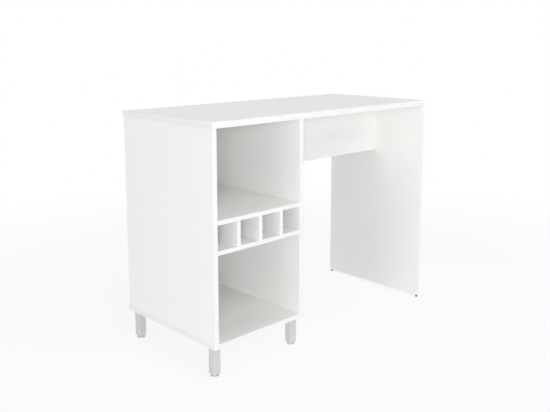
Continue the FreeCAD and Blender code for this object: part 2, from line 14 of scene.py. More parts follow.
import bmesh
import bpy
from mathutils import Euler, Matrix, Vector

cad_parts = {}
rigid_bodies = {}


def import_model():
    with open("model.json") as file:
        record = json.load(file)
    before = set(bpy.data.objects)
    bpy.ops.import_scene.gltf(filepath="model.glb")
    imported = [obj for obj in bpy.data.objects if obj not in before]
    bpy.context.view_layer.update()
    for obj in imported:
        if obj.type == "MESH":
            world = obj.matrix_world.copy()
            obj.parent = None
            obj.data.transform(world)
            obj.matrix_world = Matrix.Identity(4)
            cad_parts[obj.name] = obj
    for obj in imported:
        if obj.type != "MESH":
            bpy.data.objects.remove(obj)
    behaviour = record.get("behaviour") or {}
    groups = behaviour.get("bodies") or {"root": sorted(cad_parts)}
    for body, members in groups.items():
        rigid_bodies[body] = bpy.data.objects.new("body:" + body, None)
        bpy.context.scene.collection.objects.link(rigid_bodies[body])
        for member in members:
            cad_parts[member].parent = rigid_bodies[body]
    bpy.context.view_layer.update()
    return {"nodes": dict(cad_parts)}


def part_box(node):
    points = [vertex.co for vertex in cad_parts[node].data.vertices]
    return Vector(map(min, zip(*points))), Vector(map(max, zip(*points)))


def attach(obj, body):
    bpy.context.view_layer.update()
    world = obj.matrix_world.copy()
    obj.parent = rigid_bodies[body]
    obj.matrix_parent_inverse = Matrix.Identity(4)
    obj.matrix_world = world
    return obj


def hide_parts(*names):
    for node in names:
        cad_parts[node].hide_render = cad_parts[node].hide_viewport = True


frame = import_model()

LOG = logging.getLogger("counter_table")

Triple = tuple[float, float, float]
Colour = Triple
Profile = list[tuple[float, float]]
Shares = tuple[tuple[float, float], ...]
Seat = tuple[Vector, Vector]

MILLIMETRE = 0.001
MICROMETRE = 0.000001
PURE_WHITE = (1.0, 1.0, 1.0, 1.0)
CORNERS = ("front_left", "rear_left", "front_right", "rear_right")


class Axis(Enum):
    """A direction of the frame, by its place in a vector."""

    X = 0
    Y = 1
    Z = 2

    def unit(self) -> Vector:
        """The axis as a unit vector."""
        return Vector([1.0 if index == self.value else 0.0 for index in range(3)])


@dataclass(frozen=True)
class Box:
    """One solid's lowest and highest corners."""

    low: Vector
    high: Vector

    @property
    def centre(self) -> Vector:
        """The middle of the box."""
        return (self.low + self.high) / 2

    @property
    def size(self) -> Vector:
        """The box's three sides."""
        return self.high - self.low

    def thin_axis(self) -> Axis:
        """The axis of the shortest side."""
        return Axis(min(range(3), key=lambda part: self.size[part]))

    def long_axis(self) -> Axis:
        """The axis of the longest side."""
        return Axis(max(range(3), key=lambda part: self.size[part]))


# Node graphs


class Graph:
    """A node tree, and the one method that adds nodes to it."""

    def __init__(self, tree: bpy.types.NodeTree) -> None:
        """Starts an empty graph.

        Args:
            tree: The tree that the nodes go into; what it holds is removed.
        """
        self.tree = tree
        tree.nodes.clear()

    def feed(self, socket: bpy.types.NodeSocket, value: object) -> None:
        """Links a signal or a socket into a socket, or sets its value.

        Args:
            socket: The input to feed.
            value: A signal, a socket, or a plain value.
        """
        source = value.socket if isinstance(value, Signal) else value
        if isinstance(source, bpy.types.NodeSocket):
            self.tree.links.new(source, socket)
        else:
            socket.default_value = source

    def node(
        self,
        kind: str,
        settings: dict[str, object] | None = None,
        inputs: dict[str | int, object] | None = None,
    ) -> bpy.types.Node:
        """Adds one node.

        Args:
            kind: The node's type.
            settings: Its settings, such as a Math node's operation.
            inputs: Values or links of its sockets, by name or place.

        Returns:
            The node.
        """
        made = self.tree.nodes.new(kind)
        for name, value in (settings or {}).items():
            setattr(made, name, value)
        for key, value in (inputs or {}).items():
            self.feed(made.inputs[key], value)
        return made

    def signal(self, socket: bpy.types.NodeSocket) -> "Signal":
        """Wraps a socket, so that sums can be written on it."""
        return Signal(self, socket)


@dataclass(frozen=True)
class Signal:
    """A number that a socket gives; sums written on it add Math nodes."""

    graph: Graph
    socket: bpy.types.NodeSocket

    def math(self, operation: str, *others: object) -> "Signal":
        """Adds a Math node.

        Args:
            operation: The node's operation.
            others: The values or signals of its further sockets.

        Returns:
            The node's result.
        """
        inputs = dict(enumerate((self, *others)))
        made = self.graph.node("ShaderNodeMath", {"operation": operation}, inputs)
        return Signal(self.graph, made.outputs[0])

    def __add__(self, other: object) -> "Signal":
        """self + other."""
        return self.math("ADD", other)

    def __radd__(self, other: object) -> "Signal":
        """other + self."""
        return self.math("ADD", other)

    def __sub__(self, other: object) -> "Signal":
        """self - other."""
        return self.math("SUBTRACT", other)

    def __rsub__(self, other: object) -> "Signal":
        """other - self."""
        return self.math("MULTIPLY_ADD", -1.0, other)

    def __mul__(self, other: object) -> "Signal":
        """self * other."""
        return self.math("MULTIPLY", other)

    def __rmul__(self, other: object) -> "Signal":
        """other * self."""
        return self.math("MULTIPLY", other)

    def __truediv__(self, other: object) -> "Signal":
        """self / other."""
        return self.math("DIVIDE", other)

    def __mod__(self, other: object) -> "Signal":
        """self % other."""
        return self.math("FLOORED_MODULO", other)

    def __pow__(self, other: object) -> "Signal":
        """self ** other."""
        return self.math("POWER", other)

    def __abs__(self) -> "Signal":
        """abs(self)."""
        return self.math("ABSOLUTE")

    def above(self, level: object) -> "Signal":
        """1 where the number is above a level, else 0."""
        return self.math("GREATER_THAN", level)

    def smooth(self, low: float, high: float) -> "Signal":
        """Rises smoothly from 0 at one level to 1 at another.

        Args:
            low: The level at which it is 0.
            high: The level at which it is 1.

        Returns:
            The smooth step.
        """
        settings = {"interpolation_type": "SMOOTHSTEP"}
        inputs = {"Value": self, "From Min": low, "From Max": high}
        return Signal(self.graph, self.graph.node("ShaderNodeMapRange", settings, inputs).outputs[0])


# Finishes

NOISE_MIDDLE = 0.5
PLASTIC_IOR = 1.5


def even(waves: float) -> Triple:
    """The same number of waves along all three axes."""
    return (waves, waves, waves)


@dataclass(frozen=True)
class Pattern:
    """Soft noise over a surface, and how much it does to the finish.

    Attributes:
        waves: Waves per metre along X, Y and Z.
        tint: Its weight in the share of the paler shade.
        sway: How far it moves the roughness.
        layers: How many finer layers it has.
        harshness: How strong the finer layers are.
    """

    waves: Triple
    tint: float = 0.0
    sway: float = 0.0
    layers: float = 2.0
    harshness: float = 0.5


class Surface(Graph):
    """A material's graph: patterns in the frame's coordinates, and one Principled shader."""

    def __init__(self, name: str) -> None:
        """Starts a material.

        Args:
            name: The material's name.
        """
        self.material = bpy.data.materials.new(name)
        self.material.use_nodes = True
        super().__init__(self.material.node_tree)
        self.place = self.node("ShaderNodeTexCoord").outputs["Object"]
        self.parts = self.node("ShaderNodeSeparateXYZ", inputs={0: self.place}).outputs

    def along(self, axis: Axis) -> Signal:
        """The place on the surface along an axis."""
        return self.signal(self.parts[axis.value])

    def stretched(self, waves: Triple) -> bpy.types.NodeSocket:
        """The place with its three parts scaled apart, in waves per metre."""
        return self.node("ShaderNodeMapping", inputs={"Vector": self.place, "Scale": waves}).outputs[0]

    def noise(self, pattern: Pattern) -> Signal:
        """A pattern's noise, from 0 to 1."""
        inputs = {
            "Vector": self.stretched(pattern.waves),
            "Scale": 1.0,
            "Detail": pattern.layers,
            "Roughness": pattern.harshness,
        }
        return self.signal(self.node("ShaderNodeTexNoise", inputs=inputs).outputs[0])

    def overlay(self, patterns: tuple[Pattern, ...], roughness: float) -> tuple[Signal, Signal, Signal]:
        """Lays patterns over one another.

        Args:
            patterns: The patterns, with the one that gives the relief first.
            roughness: The roughness round which they sway.

        Returns:
            The share of the paler shade, the roughness, and the first pattern's noise.
        """
        noises = [self.noise(pattern) for pattern in patterns]
        pairs = list(zip(noises, patterns))
        tints = [noise * pattern.tint for noise, pattern in pairs]
        sways = [(noise - NOISE_MIDDLE) * pattern.sway for noise, pattern in pairs if pattern.sway]
        return sum(tints[1:], tints[0]), sum(sways, roughness), noises[0]

    def cells(self, waves: Triple) -> tuple[Signal, Signal]:
        """Irregular cells.

        Args:
            waves: Cells per metre along X, Y and Z.

        Returns:
            The distance from each cell's middle, and a number that differs from cell to cell.
        """
        inputs = {"Vector": self.stretched(waves), "Scale": 1.0}
        made = self.node("ShaderNodeTexVoronoi", inputs=inputs)
        parts = self.node("ShaderNodeSeparateColor", inputs={0: made.outputs["Color"]})
        return self.signal(made.outputs["Distance"]), self.signal(parts.outputs[0])

    def blend(self, share: Signal, first: object, second: object) -> bpy.types.NodeSocket:
        """Mixes two colours.

        Args:
            share: How much of the second colour there is.
            first: A colour or a colour socket.
            second: A colour or a colour socket.

        Returns:
            The mixed colour.
        """
        def full(colour: object) -> object:
            """A plain colour with its fourth part."""
            return (*colour, 1.0) if isinstance(colour, tuple) else colour

        inputs = {"Factor": share, 6: full(first), 7: full(second)}
        return self.node("ShaderNodeMix", {"data_type": "RGBA"}, inputs).outputs[2]

    def shader(
        self,
        colour: object,
        roughness: object,
        height: Signal,
        depth: float,
        metallic: float = 0.0,
    ) -> bpy.types.Material:
        """Adds the Principled shader and the output.

        Args:
            colour: The base colour's socket.
            roughness: The roughness.
            height: The relief, from 0 to 1.
            depth: The relief's height in metres.
            metallic: How metallic it is all over.

        Returns:
            The material.
        """
        bump = self.node("ShaderNodeBump", inputs={"Strength": 1.0, "Distance": depth, "Height": height})
        inputs = {
            "Base Color": colour,
            "Roughness": roughness,
            "Normal": bump.outputs[0],
            "Metallic": metallic,
            "IOR": PLASTIC_IOR,
        }
        principled = self.node("ShaderNodeBsdfPrincipled", inputs=inputs)
        self.node("ShaderNodeOutputMaterial", inputs={"Surface": principled.outputs[0]})
        return self.material


@dataclass(frozen=True)
class Slab:
    """A board's two faced planes, across its thickness."""

    axis: Axis
    low: float
    high: float

    @classmethod
    def of_node(cls, node: str) -> "Slab":
        """Reads a board's planes from its solid, whose shortest side is the thickness."""
        low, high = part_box(node)
        axis = Box(low, high).thin_axis()
        return cls(axis, low[axis.value], high[axis.value])

    @property
    def middle(self) -> float:
        """The plane half way through the board."""
        return (self.low + self.high) / 2

    @property
    def half(self) -> float:
        """Half the board's thickness."""
        return (self.high - self.low) / 2


@dataclass(frozen=True)
class Chipboard:
    """Pressed wood chips, as a board's cut edges and drilled holes show them."""

    pale: Colour = (0.56, 0.43, 0.29)
    dark: Colour = (0.27, 0.18, 0.11)
    roughness: float = 0.85
    chips: Triple = (260.0, 260.0, 700.0)
    chip_tint: float = 0.7
    fibre: Pattern = Pattern((780.0, 780.0, 2100.0), 0.3, layers=3.0)

    def colour(self, surface: Surface) -> tuple[bpy.types.NodeSocket, Signal]:
        """The chips' colour and relief.

        Args:
            surface: The material that gets them.

        Returns:
            The colour, and the relief from 0 to 1.
        """
        distance, chance = surface.cells(self.chips)
        share = chance * self.chip_tint + surface.noise(self.fibre) * self.fibre.tint
        return surface.blend(share, self.dark, self.pale), 1.0 - distance


@dataclass(frozen=True)
class Melamine:
    """White melamine facing on chipboard: satin, with a faint orange-peel relief."""

    warm: Colour = (0.888, 0.888, 0.872)
    cool: Colour = (0.905, 0.907, 0.899)
    roughness: float = 0.42
    cloud: Pattern = Pattern(even(2.2), 0.7, 0.10, 3.0)
    grain: Pattern = Pattern(even(90.0), 0.3, 0.12, 4.0, 0.6)
    peel: Pattern = Pattern(even(620.0), layers=1.0)
    peel_depth: float = 16 * MICROMETRE
    chip_relief: float = 7.0
    skin: float = 0.15 * MILLIMETRE
    core: Chipboard = Chipboard()

    def material(self, name: str, slab: Slab) -> bpy.types.Material:
        """Makes one board's material, faced on the board's two large planes alone.

        Args:
            name: The material's name.
            slab: The faced planes.

        Returns:
            The material.
        """
        surface = Surface(name)
        faced = abs(surface.along(slab.axis) - slab.middle).above(slab.half - self.skin)
        share, satin, _ = surface.overlay((self.cloud, self.grain), self.roughness)
        facing = surface.blend(share, self.warm, self.cool)
        core, chips = self.core.colour(surface)
        rough = satin * faced + (1.0 - faced) * self.core.roughness
        relief = surface.noise(self.peel) * faced + chips * (1.0 - faced) * self.chip_relief
        return surface.shader(surface.blend(faced, core, facing), rough, relief, self.peel_depth)


@dataclass(frozen=True)
class Hardboard:
    """Thin fibre board: brown and fibrous behind, painted white on the side of the bays."""

    pale: Colour = (0.43, 0.30, 0.19)
    dark: Colour = (0.28, 0.185, 0.11)
    contrast: tuple[float, float] = (0.25, 0.75)
    roughness: float = 0.72
    fibres: Pattern = Pattern((700.0, 700.0, 260.0), 0.8, 0.3, 5.0, 0.7)
    blotches: Pattern = Pattern((9.0, 9.0, 6.0), 0.2, layers=4.0)
    depth: float = 25 * MICROMETRE
    paint: Colour = (0.88, 0.88, 0.868)
    thin_paint: float = 0.98
    paint_fill: float = 0.7
    paint_roughness: float = 0.5
    skin: float = 0.2 * MILLIMETRE

    def material(self, name: str, slab: Slab) -> bpy.types.Material:
        """Makes the board's material, painted at its lower plane.

        Args:
            name: The material's name.
            slab: The board's two planes.

        Returns:
            The material.
        """
        surface = Surface(name)
        painted = 1.0 - surface.along(slab.axis).above(slab.low + self.skin)
        share, raw, fibres = surface.overlay((self.fibres, self.blotches), self.roughness)
        brown = surface.blend(share.smooth(*self.contrast), self.dark, self.pale)
        white = surface.blend(fibres, tuple(part * self.thin_paint for part in self.paint), self.paint)
        rough = raw * (1.0 - painted) + painted * self.paint_roughness
        relief = fibres * (1.0 - painted * self.paint_fill)
        return surface.shader(surface.blend(painted, brown, white), rough, relief, self.depth)


@dataclass(frozen=True)
class Beech:
    """Beech dowels: pale wood with short dark rays."""

    pale: Colour = (0.70, 0.52, 0.34)
    dark: Colour = (0.50, 0.34, 0.20)
    roughness: float = 0.62
    grain: Pattern = Pattern((350.0, 900.0, 350.0), 0.7, 0.2, 4.0, 0.65)
    rays: Triple = (500.0, 1600.0, 500.0)
    ray_tint: float = 0.3
    depth: float = 20 * MICROMETRE

    def material(self, name: str) -> bpy.types.Material:
        """Makes the wood's material."""
        surface = Surface(name)
        share, rough, grain = surface.overlay((self.grain,), self.roughness)
        rays, _ = surface.cells(self.rays)
        colour = surface.blend(share + rays * self.ray_tint, self.dark, self.pale)
        return surface.shader(colour, rough, grain, self.depth)


@dataclass(frozen=True)
class Finish:
    """A finish between two shades, all of it worked by patterns.

    Attributes:
        pale: The paler shade.
        dark: The darker shade.
        roughness: The roughness round which the patterns sway.
        depth: The height of the relief that the first pattern gives.
        patterns: The patterns.
        metallic: How metallic it is.
    """

    pale: Colour
    dark: Colour
    roughness: float
    depth: float
    patterns: tuple[Pattern, ...]
    metallic: float = 0.0

    def material(self, name: str) -> bpy.types.Material:
        """Makes the finish's material."""
        surface = Surface(name)
        share, rough, relief = surface.overlay(self.patterns, self.roughness)
        colour = surface.blend(share, self.dark, self.pale)
        return surface.shader(colour, rough, relief, self.depth, self.metallic)


@dataclass(frozen=True)
class Edging(Finish):
    """Plastic edge strip: a little smoother than the facing, with fine lines along it."""

    pale: Colour = (0.860, 0.860, 0.850)
    dark: Colour = (0.840, 0.840, 0.828)
    roughness: float = 0.34
    depth: float = 4 * MICROMETRE
    patterns: tuple[Pattern, ...] = (
        Pattern((14.0, 14.0, 900.0), 0.5, 0.16),
        Pattern(even(300.0), 0.5, layers=3.0),
    )


@dataclass(frozen=True)
class DrawnSteel(Finish):
    """Tube with a satin silver coat, which keeps the fine lines along its length."""

    pale: Colour = (0.67, 0.67, 0.67)
    dark: Colour = (0.59, 0.59, 0.592)
    roughness: float = 0.36
    depth: float = 6 * MICROMETRE
    patterns: tuple[Pattern, ...] = (
        Pattern((1500.0, 1500.0, 10.0), 0.6, 0.22, 3.0, 0.6),
        Pattern((40.0, 40.0, 18.0), 0.4, 0.08, 3.0),
    )
    metallic: float = 0.2


@dataclass(frozen=True)
class PlatedMetal(Finish):
    """Bare metal: zinc-plated steel, the duller cast alloy, or satin nickel."""

    depth: float = 8 * MICROMETRE
    patterns: tuple[Pattern, ...] = (
        Pattern(even(500.0), 0.5, 0.25, 4.0, 0.6),
        Pattern(even(80.0), 0.5),
    )
    metallic: float = 1.0


class PlasticTone(Enum):
    """The plastics' colours: the paler and the darker shade of each."""

    WHITE = ((0.88, 0.88, 0.87), (0.84, 0.84, 0.825))
    GREY = ((0.86, 0.865, 0.865), (0.78, 0.785, 0.785))
    BLACK = ((0.04, 0.04, 0.043), (0.022, 0.022, 0.024))


@dataclass(frozen=True)
class MouldedPlastic(Finish):
    """Injection-moulded plastic with a fine spark-eroded texture."""

    roughness: float = 0.45
    depth: float = 7 * MICROMETRE
    patterns: tuple[Pattern, ...] = (
        Pattern(even(1800.0), 0.4, 0.15),
        Pattern((60.0, 60.0, 90.0), 0.6, 0.1),
    )


@dataclass
class Palette:
    """The materials: one for each slot of the record, and for the boards' slot one a board."""

    melamine: Melamine = field(default_factory=Melamine)
    hardboard: Hardboard = field(default_factory=Hardboard)
    materials: dict[str, bpy.types.Material] = field(default_factory=dict)

    def __post_init__(self) -> None:
        """Makes the materials that several nodes share."""
        finishes = {
            "white_edging": Edging(),
            "white_plastic": MouldedPlastic(*PlasticTone.WHITE.value, roughness=0.4),
            "zinc_alloy": PlatedMetal((0.60, 0.60, 0.61), (0.48, 0.48, 0.50), 0.5),
            "zinc_steel": PlatedMetal((0.74, 0.75, 0.77), (0.60, 0.61, 0.64), 0.34),
            "beech": Beech(),
            "satin_steel": DrawnSteel(),
            "black_plastic": MouldedPlastic(*PlasticTone.BLACK.value),
            "satin_nickel": PlatedMetal((0.48, 0.475, 0.47), (0.37, 0.365, 0.36), 0.3),
            "grey_plastic": MouldedPlastic(*PlasticTone.GREY.value, roughness=0.4),
        }
        self.materials = {slot: finish.material(slot) for slot, finish in finishes.items()}

    def dress(self, slot: str, nodes: Iterable[str]) -> None:
        """Gives carried-over nodes their slot's material.

        Args:
            slot: The record's slot.
            nodes: The nodes' names.
        """
        for node in nodes:
            put_on(frame["nodes"][node], self.materials[slot])

    def face_boards(self, nodes: Iterable[str]) -> None:
        """Gives each board a melamine facing on its own two planes."""
        for node in nodes:
            material = self.melamine.material(f"white_melamine_{node}", Slab.of_node(node))
            put_on(frame["nodes"][node], material)


def put_on(item: bpy.types.Object, material: bpy.types.Material) -> None:
    """Puts one material on the whole of a piece.

    Args:
        item: The piece or node.
        material: The material.
    """
    if not item.material_slots:
        item.data.materials.append(material)
    for holder in item.material_slots:
        holder.material = material
    LOG.info("dressed %s with %s", item.name, material.name)


# Pieces that repeat, made with Geometry Nodes

ORDER_DIGITS = 6
FACET_ANGLE = math.radians(32.0)


def solids_of(node: str) -> list[Box]:
    """Finds the separate solids of a node.

    Args:
        node: The node's name.

    Returns:
        Their boxes, from left to right, front to rear and low to high.
    """
    mesh = bmesh.new()
    mesh.from_mesh(frame["nodes"][node].data)
    bmesh.ops.remove_doubles(mesh, verts=mesh.verts, dist=MICROMETRE)
    left = set(mesh.verts)
    boxes = []
    while left:
        group, edge = [], [left.pop()]
        while edge:
            vertex = edge.pop()
            group.append(vertex.co.copy())
            fresh = {link.other_vert(vertex) for link in vertex.link_edges} & left
            left -= fresh
            edge.extend(fresh)
        corners = [[pick(point[part] for point in group) for part in range(3)] for pick in (min, max)]
        boxes.append(Box(Vector(corners[0]), Vector(corners[1])))
    mesh.free()
    return sorted(boxes, key=lambda box: tuple(round(part, ORDER_DIGITS) for part in box.centre))


class GeometryTree(Graph):
    """A Geometry Nodes tree with named inputs, set on one point for each copy of a piece."""

    def __init__(self, name: str, inputs: dict[str, str]) -> None:
        """Starts a tree.

        Args:
            name: The tree's name.
            inputs: Its inputs' names, with the type of each socket.
        """
        super().__init__(bpy.data.node_groups.new(name, "GeometryNodeTree"))
        sockets = {"Places": "NodeSocketGeometry", **inputs, "Finish": "NodeSocketMaterial"}
        face = self.tree.interface
        self.ids = {
            title: face.new_socket(title, in_out="INPUT", socket_type=kind).identifier
            for title, kind in sockets.items()
        }
        face.new_socket("Geometry", in_out="OUTPUT", socket_type="NodeSocketGeometry")
        self.entry = self.node("NodeGroupInput")

    def given(self, title: str) -> Signal:
        """The value of a named input."""
        return self.signal(self.entry.outputs[title])

    def wound_sheet(self, rows: object, place: Callable[[Signal, Signal], object]) -> Signal:
        """A sheet of quads wound once round the Z axis, and closed at its seam.

        Args:
            rows: How many points the sheet has along the axis.
            place: Gives a point's position from its row and its angle.

        Returns:
            The closed mesh, smooth but for its sharp edges.
        """
        around = self.given("Around")
        inputs = {"Vertices X": around + 1.0, "Vertices Y": rows}
        sheet = self.node("GeometryNodeMeshGrid", inputs=inputs).outputs["Mesh"]
        index = self.signal(self.node("GeometryNodeInputIndex").outputs[0])
        column = (index / rows).math("FLOOR")
        position = place(index % rows, column * math.tau / around)
        moved = self.node("GeometryNodeSetPosition", inputs={"Geometry": sheet, "Position": position})
        inputs = {"Geometry": moved.outputs[0], "Distance": MICROMETRE}
        closed = self.node("GeometryNodeMergeByDistance", inputs=inputs)
        inputs = {"Geometry": closed.outputs[0], "Shade Smooth": True}
        smooth = self.node("GeometryNodeSetShadeSmooth", {"domain": "FACE"}, inputs)
        angle = self.signal(self.node("GeometryNodeInputMeshEdgeAngle").outputs[0])
        sharp = angle.above(FACET_ANGLE)
        inputs = {"Geometry": smooth.outputs[0], "Selection": sharp, "Shade Smooth": False}
        return self.signal(self.node("GeometryNodeSetShadeSmooth", {"domain": "EDGE"}, inputs).outputs[0])

    def wound_point(self, radius: Signal, angle: Signal, height: Signal) -> bpy.types.NodeSocket:
        """A position from its radius, angle and height."""
        parts = {0: radius * angle.math("COSINE"), 1: radius * angle.math("SINE"), 2: height}
        return self.node("ShaderNodeCombineXYZ", inputs=parts).outputs[0]

    def set_on_places(self, piece: Signal) -> None:
        """Sets the piece on each place, its Z axis turned to the place's facing, and ends the tree.

        Args:
            piece: The piece's mesh.
        """
        settings = {"data_type": "FLOAT_VECTOR"}
        facing = self.node("GeometryNodeInputNamedAttribute", settings, {"Name": "facing"}).outputs[0]
        inputs = {"Vector": facing}
        turn = self.node("FunctionNodeAlignRotationToVector", {"axis": "Z"}, inputs).outputs[0]
        inputs = {"Points": self.given("Places"), "Instance": piece, "Rotation": turn}
        copies = self.node("GeometryNodeInstanceOnPoints", inputs=inputs).outputs[0]
        real = self.node("GeometryNodeRealizeInstances", inputs={0: copies}).outputs[0]
        inputs = {"Geometry": real, "Material": self.given("Finish")}
        dressed = self.node("GeometryNodeSetMaterial", inputs=inputs).outputs[0]
        self.node("NodeGroupOutput", inputs={0: dressed})

    def make(self, name: str, seats: list[Seat], values: dict[str, object]) -> bpy.types.Object:
        """Runs the tree and keeps its result as a plain mesh.

        Args:
            name: The piece's name.
            seats: Where each copy goes, and which way it faces.
            values: The named inputs' values.

        Returns:
            The piece.
        """
        mesh = bpy.data.meshes.new(name)
        mesh.from_pydata([place for place, _ in seats], [], [])
        facing = mesh.attributes.new("facing", "FLOAT_VECTOR", "POINT")
        facing.data.foreach_set("vector", [part for _, way in seats for part in way])
        piece = bpy.data.objects.new(name, mesh)
        bpy.context.scene.collection.objects.link(piece)
        modifier = piece.modifiers.new(self.tree.name, "NODES")
        modifier.node_group = self.tree
        for title, value in values.items():
            modifier[self.ids[title]] = value
        evaluated = piece.evaluated_get(bpy.context.evaluated_depsgraph_get())
        result = bpy.data.meshes.new_from_object(evaluated)
        result.name = name
        piece.modifiers.remove(modifier)
        piece.data = result
        bpy.data.meshes.remove(mesh)
        return piece


class TurnedTree(GeometryTree):
    """Turns a profile round the Z axis, presses ribs into its rim, and sets it on each place."""

    HOLLOW_POWER = 2.0

    def __init__(self) -> None:
        """Builds the tree."""
        super().__init__("turned_piece", {
            "Profile": "NodeSocketObject",
            "Around": "NodeSocketInt",
            "Ribs": "NodeSocketInt",
            "Rib Depth": "NodeSocketFloat",
            "Ribbed From": "NodeSocketFloat",
        })
        profile = self.node("GeometryNodeObjectInfo", inputs={"Object": self.given("Profile")})
        self.outline = profile.outputs["Geometry"]
        size = self.node("GeometryNodeAttributeDomainSize", inputs={0: self.outline})
        self.set_on_places(self.wound_sheet(self.signal(size.outputs["Point Count"]), self.turned))

    def turned(self, row: Signal, angle: Signal) -> bpy.types.NodeSocket:
        """A point of the profile, turned, with the ribs' hollows at its rim.

        Args:
            row: The profile point's number.
            angle: How far it is turned.

        Returns:
            Its position.
        """
        position = self.node("GeometryNodeInputPosition").outputs[0]
        inputs = {"Geometry": self.outline, "Value": position, "Index": row}
        settings = {"data_type": "FLOAT_VECTOR", "domain": "POINT"}
        sampled = self.node("GeometryNodeSampleIndex", settings, inputs).outputs[0]
        parts = self.node("ShaderNodeSeparateXYZ", inputs={0: sampled}).outputs
        radius, height = self.signal(parts[0]), self.signal(parts[2])
        hollow = ((angle * self.given("Ribs")).math("COSINE") * 0.5 + 0.5) ** self.HOLLOW_POWER
        at_rim = radius.above(self.given("Ribbed From"))
        return self.wound_point(radius - hollow * at_rim * self.given("Rib Depth"), angle, height)


class ThreadTree(GeometryTree):
    """Winds a screw thread on a rod, and sets it on each place."""

    ROWS_A_TURN = 8
    FIRST_ROW = 1.0
    HALF_ROW = 0.5
    CLOSING_ROWS = 2.0

    def __init__(self) -> None:
        """Builds the tree."""
        super().__init__("threaded_rod", {
            "Radius": "NodeSocketFloat",
            "Length": "NodeSocketFloat",
            "Pitch": "NodeSocketFloat",
            "Depth": "NodeSocketFloat",
            "Around": "NodeSocketInt",
        })
        turns = self.given("Length") / self.given("Pitch")
        self.steps = (turns * self.ROWS_A_TURN).math("CEIL")
        rows = self.steps + 1.0 + self.CLOSING_ROWS
        self.set_on_places(self.wound_sheet(rows, self.threaded))

    def threaded(self, row: Signal, angle: Signal) -> bpy.types.NodeSocket:
        """A point of the thread; the first and last rows lie on the axis and close the ends.

        Args:
            row: The row along the rod.
            angle: The angle round it.

        Returns:
            Its position.
        """
        share = ((row - self.FIRST_ROW) / self.steps).math("MAXIMUM", 0.0).math("MINIMUM", 1.0)
        height = share * self.given("Length")
        wave = (height / self.given("Pitch") - angle / math.tau).math("PINGPONG", 0.5) * 2.0
        past_last = row.above(self.steps + (self.FIRST_ROW + self.HALF_ROW))
        inside = row.above(self.FIRST_ROW - self.HALF_ROW) * (1.0 - past_last)
        radius = (self.given("Radius") - self.given("Depth") * wave) * inside
        return self.wound_point(radius, angle, height)


@dataclass(frozen=True)
class Ribs:
    """Hollows pressed into the rim of a turned piece.

    Attributes:
        count: How many there are.
        depth: How deep they are.
        outside: The radius outside which they are pressed.
    """

    count: int = 0
    depth: float = 0.0
    outside: float = 1.0


@dataclass
class Turner:
    """Makes turned and threaded pieces and sets them on their bodies in place of nodes."""

    palette: Palette
    turned: TurnedTree = field(default_factory=TurnedTree)
    threaded: ThreadTree = field(default_factory=ThreadTree)

    def settle(self, piece: bpy.types.Object, body: str, slot: str, node: str) -> None:
        """Sets a finished piece in the place of a node.

        Args:
            piece: The piece.
            body: The body that it rides on.
            slot: The record's slot that its finish stands for; not used.
            node: The node that it replaces.
        """
        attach(piece, body)
        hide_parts(node)
        LOG.info("made %s: %d faces", piece.name, len(piece.data.polygons))

    def turn(
        self,
        name: str,
        profile: Profile,
        seats: list[Seat],
        slot: str,
        around: int = 48,
        ribs: Ribs = Ribs(),
    ) -> bpy.types.Object:
        """Makes copies of a turned piece.

        Args:
            name: The piece's name.
            profile: Radius and height of its outline, from the foot outwards and up.
            seats: Where the copies go and which way they face.
            slot: The slot whose material it gets.
            around: Points round the axis.
            ribs: The hollows in its rim.

        Returns:
            The piece.
        """
        mesh = bpy.data.meshes.new("outline")
        points = [(radius, 0.0, height) for radius, height in profile]
        mesh.from_pydata(points, [(index, index + 1) for index in range(len(points) - 1)], [])
        outline = bpy.data.objects.new("outline", mesh)
        values = {
            "Profile": outline,
            "Around": around,
            "Ribs": ribs.count,
            "Rib Depth": ribs.depth,
            "Ribbed From": ribs.outside,
            "Finish": self.palette.materials[slot],
        }
        piece = self.turned.make(name, seats, values)
        bpy.data.objects.remove(outline)
        bpy.data.meshes.remove(mesh)
        return piece


# Sub-assemblies

CORNER_STEPS = 4


def round_corner(radius: float, height: float, fillet: float, way: tuple[int, int]) -> Profile:
    """Points of a rounded corner of a profile.

    Args:
        radius: The corner's radius from the axis, before it is rounded.
        height: Its height.
        fillet: The radius of the rounding.
        way: From the corner to the arc's centre, as signs of radius and height.

    Returns:
        The points, in the order in which the profile goes outwards and up, or up and inwards.
    """
    middle, level = radius + way[0] * fillet, height + way[1] * fillet
    first = math.pi / 2 if way[1] > 0 else 0.0
    angles = [first - math.pi / 2 * step / CORNER_STEPS for step in range(CORNER_STEPS + 1)]
    return [(middle + fillet * math.cos(angle), level - fillet * math.sin(angle)) for angle in angles]


@dataclass
class SubAssembly:
    """Pieces that belong together, and the maker of those that repeat."""

    turner: Turner

    @property
    def palette(self) -> Palette:
        """The materials."""
        return self.turner.palette


@dataclass
class Worktop(SubAssembly):
    """The worktop board and its edge strips."""

    boards: tuple[str, ...] = ("worktop_panel",)
    edging: tuple[str, ...] = ("worktop_edging",)

    def build(self) -> None:
        """Dresses the worktop."""
        self.palette.face_boards(self.boards)
        self.palette.dress("white_edging", self.edging)


